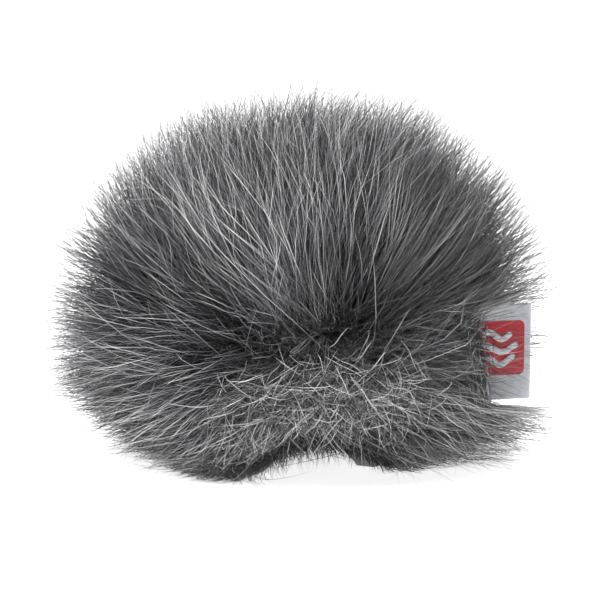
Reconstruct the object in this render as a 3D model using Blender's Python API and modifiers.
"""A furry windscreen: a sewn long-pile cover with a foam former, an elastic mouth and a side label.

It stands on its mouth. +Z is up, -Y is the front and the label is on the +X side. Units are metres.
Every sewn shell is a turned "pot" outline, wider than it is deep, cut into its panels by the seams.
"""

import math

import bmesh
import bpy

MM = 0.001

# Driving dimensions
DEPTH_RATIO = 0.90  # the cover is this much as deep as it is wide
BODY_HALF_WIDTH = 22.5 * MM  # backing fabric, at its widest
BODY_WIDE_Z = 27.0 * MM
BODY_TOP_Z = 47.0 * MM
PILE_HALF_WIDTH = 46.5 * MM  # tips of the pile, at its widest
PILE_WIDE_Z = 29.0 * MM
PILE_TOP_Z = 71.0 * MM
PILE_FOOT_Z = 0.8 * MM
MOUTH_RADIUS = 12.2 * MM
HEM_HEIGHT = 4.2 * MM
HEM_OUTER_RADIUS = 16.6 * MM
SEAM_Z = 27.0 * MM  # the level seam between upper and lower panels
ARCH_HEIGHT = 6.0 * MM  # how far the mouth is drawn up at front and rear
ARCH_SHARE = 0.72  # of the mouth's half width
ARCH_FADE_Z = 27.0 * MM

# Fabrics and clearances
GAP = 0.3 * MM
BACKING_THICKNESS = 1.2 * MM
THREAD_SPACE = 1.0 * MM  # between backing and pile, where the seam threads lie
FOAM_THICKNESS = 5.0 * MM
LINING_THICKNESS = 0.6 * MM
HEM_THICKNESS = 0.7 * MM
THREAD_RADIUS = 0.25 * MM
HEM_THREAD_RADIUS = 0.2 * MM

# The label, a folded tape sewn into the side seam
LABEL_BOTTOM_Z = 9.6 * MM
LABEL_TOP_Z = 28.0 * MM
LABEL_ROOT_X = 23.9 * MM
LABEL_FOLD_X = 45.4 * MM
LABEL_HALF_THICKNESS = 0.75 * MM
LABEL_PLY = 0.4 * MM
LABEL_HINGE_X = 24.4 * MM
LABEL_THREAD_RADIUS = 0.15 * MM
LABEL_SLOT_ANGLE = math.radians(18)  # the flap turns 15 degrees each way inside it
LABEL_SLOT_ROOT = 1.3 * MM

# Facets
TURN_STEPS = 40
PILE_ARC_STEPS = 7
SHELL_ARC_STEPS = 5
FAR = 80 * MM  # past every part, for cutters

FRONT, REAR = -1, 1
UPPER, LOWER = 1, -1
PANELS = {
    "front_upper": (FRONT, UPPER),
    "front_lower": (FRONT, LOWER),
    "rear_upper": (REAR, UPPER),
    "rear_lower": (REAR, LOWER),
}


def clear_scene():
    for obj in list(bpy.data.objects):
        bpy.data.objects.remove(obj)


def new_collection(name):
    collection = bpy.data.collections.new(name)
    bpy.context.scene.collection.children.link(collection)
    return collection


def new_material(name, colour, roughness, metallic=0.0):
    material = bpy.data.materials.new(name)
    material.use_nodes = True
    shader = material.node_tree.nodes["Principled BSDF"]
    shader.inputs["Base Color"].default_value = (*colour, 1)
    shader.inputs["Roughness"].default_value = roughness
    shader.inputs["Metallic"].default_value = metallic
    return material


def add_object(name, data, collection, material=None):
    obj = bpy.data.objects.new(name, data)
    collection.objects.link(obj)
    if material:
        data.materials.append(material)
    return obj


def pot_outline(half_width, wide_z, top_z, mouth_radius, mouth_z, steps, squareness=2.0):
    """Points (radius, height) down a pot's side: an elliptic dome, then a squarer curve in to the mouth."""
    points = []
    for i in range(steps + 1):
        angle = math.radians(90 * (1 - i / steps))
        points.append((half_width * math.cos(angle), wide_z + (top_z - wide_z) * math.sin(angle)))
    points[0] = (0.0, top_z)
    power = 2 / squareness
    for i in range(1, steps + 1):
        angle = math.radians(90 * i / steps)
        inward = max(math.cos(angle), 0.0) ** power
        down = math.sin(angle) ** power
        radius = mouth_radius + (half_width - mouth_radius) * inward
        points.append((radius, wide_z - (wide_z - mouth_z) * down))
    return points


def body_outline(inset, mouth_radius, mouth_z, steps=SHELL_ARC_STEPS):
    """The backing fabric's outline, moved in by inset, or out if inset is negative."""
    half_width = BODY_HALF_WIDTH - inset
    return pot_outline(half_width, BODY_WIDE_Z, BODY_TOP_Z - inset, mouth_radius, mouth_z, steps)


def turned(name, outline, collection, material, closed=False):
    """A solid turned about Z from an outline that runs down its outer side, flattened front to rear."""
    mesh = bpy.data.meshes.new(name)
    edges = [(i, i + 1) for i in range(len(outline) - 1)]
    if closed:
        edges.append((len(outline) - 1, 0))
    mesh.from_pydata([(radius, 0, z) for radius, z in outline], edges, [])
    obj = add_object(name, mesh, collection, material)
    screw = obj.modifiers.new("turn", "SCREW")
    screw.axis = "Z"
    screw.angle = 2 * math.pi
    screw.steps = screw.render_steps = TURN_STEPS
    screw.use_merge_vertices = True
    screw.merge_threshold = 0.00001
    obj.scale = (1, DEPTH_RATIO, 1)
    return obj


def shell(name, outer, inner, collection, material):
    """A turned wall between two outlines that both start on the axis."""
    return turned(name, outer + inner[::-1], collection, material)


def box_cutter(name, low, high, collection):
    mesh = bpy.data.meshes.new(name)
    shape = bmesh.new()
    bmesh.ops.create_cube(shape, size=1)
    for vertex in shape.verts:
        for axis in range(3):
            vertex.co[axis] = low[axis] + (vertex.co[axis] + 0.5) * (high[axis] - low[axis])
    shape.to_mesh(mesh)
    shape.free()
    return hide_cutter(add_object(name, mesh, collection))


def hide_cutter(obj):
    obj.hide_render = True
    obj.display_type = "WIRE"
    return obj


def boolean(obj, cutter, operation):
    modifier = obj.modifiers.new(operation.lower(), "BOOLEAN")
    modifier.operation = operation
    modifier.object = cutter
    modifier.solver = "EXACT"


def outline_solid(name, points, low_z, high_z, collection, material=None):
    """A flat outline in the XY plane, extruded from low_z to high_z."""
    curve = bpy.data.curves.new(name, "CURVE")
    curve.dimensions = "2D"
    curve.fill_mode = "BOTH"
    curve.extrude = (high_z - low_z) / 2
    spline = curve.splines.new("POLY")
    spline.points.add(len(points) - 1)
    for point, (x, y) in zip(spline.points, points):
        point.co = (x, y, 0, 1)
    spline.use_cyclic_u = True
    obj = add_object(name, curve, collection, material)
    obj.location.z = (low_z + high_z) / 2
    return obj


def thread(name, points, radius, collection, material, cyclic=False):
    curve = bpy.data.curves.new(name, "CURVE")
    curve.dimensions = "3D"
    curve.bevel_depth = radius
    curve.bevel_resolution = 1
    curve.use_fill_caps = not cyclic
    spline = curve.splines.new("POLY")
    spline.points.add(len(points) - 1)
    for point, place in zip(spline.points, points):
        point.co = (*place, 1)
    spline.use_cyclic_u = cyclic
    return add_object(name, curve, collection, material)


def as_mesh(obj):
    """The object again as a plain world-space mesh, with its modifiers applied and its ends welded."""
    bpy.context.view_layer.update()
    graph = bpy.context.evaluated_depsgraph_get()
    mesh = bpy.data.meshes.new_from_object(obj.evaluated_get(graph), depsgraph=graph)
    mesh.transform(obj.matrix_world)
    name, collections, materials = obj.name, list(obj.users_collection), list(obj.data.materials)
    bpy.data.objects.remove(obj)
    shape = bmesh.new()
    shape.from_mesh(mesh)
    bmesh.ops.remove_doubles(shape, verts=shape.verts, dist=0.000001)
    shape.to_mesh(mesh)
    shape.free()
    made = bpy.data.objects.new(name, mesh)
    collections[0].objects.link(made)
    mesh.materials.clear()
    for material in materials:
        mesh.materials.append(material)
    mesh.shade_smooth()
    mesh.set_sharp_from_angle(angle=math.radians(35))
    return made


def draw_up_mouth(obj):
    """Lifts the middle of the mouth at front and rear, as its elastic does, fading out up the side."""
    for vertex in obj.data.vertices:
        radius = max(math.hypot(vertex.co.x, vertex.co.y / DEPTH_RATIO), MM)
        across = max(0.0, 1 - (vertex.co.x / radius / ARCH_SHARE) ** 2)
        near_floor = max(0.0, 1 - vertex.co.z / ARCH_FADE_Z) ** 2
        vertex.co.z += ARCH_HEIGHT * across * near_floor


def panel_cutter(panel, cutters):
    """The quarter of space that one of the four sewn panels fills."""
    facing, level = PANELS[panel]
    low = [-FAR, GAP / 2, SEAM_Z + GAP / 2]
    high = [FAR, FAR, FAR]
    if facing == FRONT:
        low[1], high[1] = -FAR, -GAP / 2
    if level == LOWER:
        low[2], high[2] = -FAR, SEAM_Z - GAP / 2
    return box_cutter("cut_" + panel, low, high, cutters)


def half_cutter(facing, cutters):
    """The space in front of or behind the side seam."""
    low, high = [-FAR, GAP / 2, -FAR], [FAR, FAR, FAR]
    if facing == FRONT:
        low[1], high[1] = -FAR, -GAP / 2
    return box_cutter("cut_half_front" if facing == FRONT else "cut_half_rear", low, high, cutters)


def label_slot(cutters):
    """The wedge of pile that the label parts as it swings."""
    reach = FAR - LABEL_HINGE_X
    spread = LABEL_SLOT_ROOT + reach * math.tan(LABEL_SLOT_ANGLE)
    clearance = 0.8 * MM
    points = [
        (BODY_HALF_WIDTH, -LABEL_SLOT_ROOT),
        (LABEL_HINGE_X, -LABEL_SLOT_ROOT),
        (FAR, -spread),
        (FAR, spread),
        (LABEL_HINGE_X, LABEL_SLOT_ROOT),
        (BODY_HALF_WIDTH, LABEL_SLOT_ROOT),
    ]
    low, high = LABEL_BOTTOM_Z - clearance, LABEL_TOP_Z + clearance
    return hide_cutter(as_mesh(outline_solid("cut_label_slot", points, low, high, cutters)))


def build_pile(collection, cutters, panel_cutters, material):
    """The long pile of each panel, as the space that its fibres fill."""
    outer = pot_outline(
        PILE_HALF_WIDTH, PILE_WIDE_Z, PILE_TOP_Z, HEM_OUTER_RADIUS + 1.8 * MM, PILE_FOOT_Z,
        PILE_ARC_STEPS, squareness=3.0,
    )
    inner = body_outline(-THREAD_SPACE, HEM_OUTER_RADIUS + 0.8 * MM, PILE_FOOT_Z)
    slot = label_slot(cutters)
    for panel in PANELS:
        pile = shell("pile_" + panel, outer, inner, collection, material)
        boolean(pile, panel_cutters[panel], "INTERSECT")
        boolean(pile, slot, "DIFFERENCE")
        draw_up_mouth(as_mesh(pile))


def build_backing(collection, panel_cutters, material):
    """The knitted cloth that carries each panel's pile."""
    mouth_z = HEM_HEIGHT + GAP
    outer = body_outline(0, HEM_OUTER_RADIUS - 0.1 * MM, mouth_z)
    inner = body_outline(BACKING_THICKNESS, HEM_OUTER_RADIUS - 1.0 * MM, mouth_z)
    for panel in PANELS:
        backing = shell("backing_" + panel, outer, inner, collection, material)
        boolean(backing, panel_cutters[panel], "INTERSECT")
        draw_up_mouth(as_mesh(backing))


def build_inner_halves(name, depth, thickness, mouth_radii, collection, half_cutters, material):
    """A front and a rear half of an inner shell, depth below the backing's outer face."""
    mouth_z = HEM_HEIGHT + 2 * GAP
    outer = body_outline(depth, mouth_radii[0], mouth_z)
    inner = body_outline(depth + thickness, mouth_radii[1], mouth_z)
    for facing, side in ((FRONT, "front"), (REAR, "rear")):
        half = shell(f"{name}_{side}", outer, inner, collection, material)
        boolean(half, half_cutters[facing], "INTERSECT")
        draw_up_mouth(as_mesh(half))


def build_hem(collection, material):
    """The folded hem tape: a channel, open upwards, that holds the elastic."""
    outline = [
        (HEM_OUTER_RADIUS, HEM_HEIGHT),
        (HEM_OUTER_RADIUS, 0),
        (MOUTH_RADIUS, 0),
        (MOUTH_RADIUS, HEM_HEIGHT),
        (MOUTH_RADIUS + HEM_THICKNESS, HEM_HEIGHT),
        (MOUTH_RADIUS + HEM_THICKNESS, HEM_THICKNESS),
        (HEM_OUTER_RADIUS - HEM_THICKNESS, HEM_THICKNESS),
        (HEM_OUTER_RADIUS - HEM_THICKNESS, HEM_HEIGHT),
    ]
    draw_up_mouth(as_mesh(turned("mouth_hem", outline, collection, material, closed=True)))


def build_elastic(collection, cutters, elastic_material, thread_material):
    """A flat elastic round the hem's channel, and the stitched block that joins its ends at the rear."""
    inner = MOUTH_RADIUS + HEM_THICKNESS + GAP
    outer = HEM_OUTER_RADIUS - HEM_THICKNESS - GAP
    low, high = HEM_THICKNESS + GAP, HEM_HEIGHT - 0.4 * MM
    outline = [(outer, high), (outer, low), (inner, low), (inner, high)]
    join_half = 1.6 * MM
    gap_box = box_cutter("cut_elastic_gap", (-join_half, 0, -FAR), (join_half, FAR, FAR), cutters)
    band = turned("mouth_elastic", outline, collection, elastic_material, closed=True)
    boolean(band, gap_box, "DIFFERENCE")
    draw_up_mouth(as_mesh(band))
    block = join_half - GAP
    block_box = box_cutter("cut_elastic_join", (-block, 0, -FAR), (block, FAR, FAR), cutters)
    join = turned("elastic_join", outline, collection, thread_material, closed=True)
    boolean(join, block_box, "INTERSECT")
    draw_up_mouth(as_mesh(join))


def build_seam_threads(collection, material):
    """The thread over the side seam, those over the front and rear seams, and the one round the hem."""
    lift = THREAD_SPACE / 2
    side = body_outline(-lift, HEM_OUTER_RADIUS - 0.1 * MM + lift, HEM_HEIGHT + GAP)[:-1]
    places = [(-radius, 0, z) for radius, z in side[::-1]] + [(radius, 0, z) for radius, z in side[1:]]
    as_mesh(thread("side_seam_thread", places, THREAD_RADIUS, collection, material))
    radius = BODY_HALF_WIDTH + lift
    steps, end = 18, 6
    for facing, name in ((FRONT, "front_seam_thread"), (REAR, "rear_seam_thread")):
        angles = [math.radians(end + (180 - 2 * end) * i / steps) for i in range(steps + 1)]
        places = [
            (radius * math.cos(a), facing * DEPTH_RATIO * radius * math.sin(a), SEAM_Z) for a in angles
        ]
        as_mesh(thread(name, places, THREAD_RADIUS, collection, material))
    hem_radius = HEM_OUTER_RADIUS + 0.1 * MM + HEM_THREAD_RADIUS
    turns = [2 * math.pi * i / TURN_STEPS for i in range(TURN_STEPS)]
    ring = [
        (hem_radius * math.cos(a), DEPTH_RATIO * hem_radius * math.sin(a), HEM_HEIGHT - 0.9 * MM)
        for a in turns
    ]
    draw_up_mouth(
        as_mesh(thread("hem_thread", ring, HEM_THREAD_RADIUS, collection, material, cyclic=True))
    )


def arc(centre_x, radius, start, end, steps):
    angles = [math.radians(start + (end - start) * i / steps) for i in range(steps + 1)]
    return [(centre_x + radius * math.cos(a), radius * math.sin(a)) for a in angles]


def build_label(collection, label_material, thread_material):
    """The label tape, folded at its outer end, and the thread that it swings on."""
    steps = 6
    half, inside = LABEL_HALF_THICKNESS, LABEL_HALF_THICKNESS - LABEL_PLY
    outline = [(LABEL_ROOT_X, -half), *arc(LABEL_FOLD_X, half, -90, 90, steps), (LABEL_ROOT_X, half)]
    outline += [(LABEL_ROOT_X, inside), *arc(LABEL_FOLD_X, inside, 90, -90, steps), (LABEL_ROOT_X, -inside)]
    as_mesh(outline_solid("label_tape", outline, LABEL_BOTTOM_Z, LABEL_TOP_Z, collection, label_material))
    past = 0.5 * MM
    places = [(LABEL_HINGE_X, 0, LABEL_BOTTOM_Z - past), (LABEL_HINGE_X, 0, LABEL_TOP_Z + past)]
    as_mesh(thread("label_thread", places, LABEL_THREAD_RADIUS, collection, thread_material))


def main():
    clear_scene()
    parts = new_collection("furry_windscreen")
    cutters = new_collection("cutters")
    pile = new_material("pile", (0.13, 0.13, 0.135), 0.7)
    backing = new_material("backing_knit", (0.06, 0.06, 0.063), 0.9)
    foam = new_material("foam", (0.03, 0.03, 0.032), 0.95)
    lining = new_material("lining", (0.025, 0.025, 0.027), 0.85)
    hem = new_material("hem_tape", (0.045, 0.043, 0.045), 0.85)
    elastic = new_material("elastic", (0.02, 0.02, 0.02), 0.8)
    sewing = new_material("sewing_thread", (0.05, 0.05, 0.05), 0.6)
    label = new_material("label_weave", (0.62, 0.63, 0.67), 0.7)

    panel_cutters = {panel: panel_cutter(panel, cutters) for panel in PANELS}
    half_cutters = {facing: half_cutter(facing, cutters) for facing in (FRONT, REAR)}
    build_pile(parts, cutters, panel_cutters, pile)
    build_backing(parts, panel_cutters, backing)
    foam_depth = BACKING_THICKNESS + GAP
    build_inner_halves(
        "foam_former", foam_depth, FOAM_THICKNESS, (15.3 * MM, 13.4 * MM), parts, half_cutters, foam
    )
    lining_depth = foam_depth + FOAM_THICKNESS + GAP
    build_inner_halves(
        "lining", lining_depth, LINING_THICKNESS, (13.1 * MM, 12.5 * MM), parts, half_cutters, lining
    )
    build_hem(parts, hem)
    build_elastic(parts, cutters, elastic, sewing)
    build_seam_threads(parts, sewing)
    build_label(parts, label, sewing)


main()
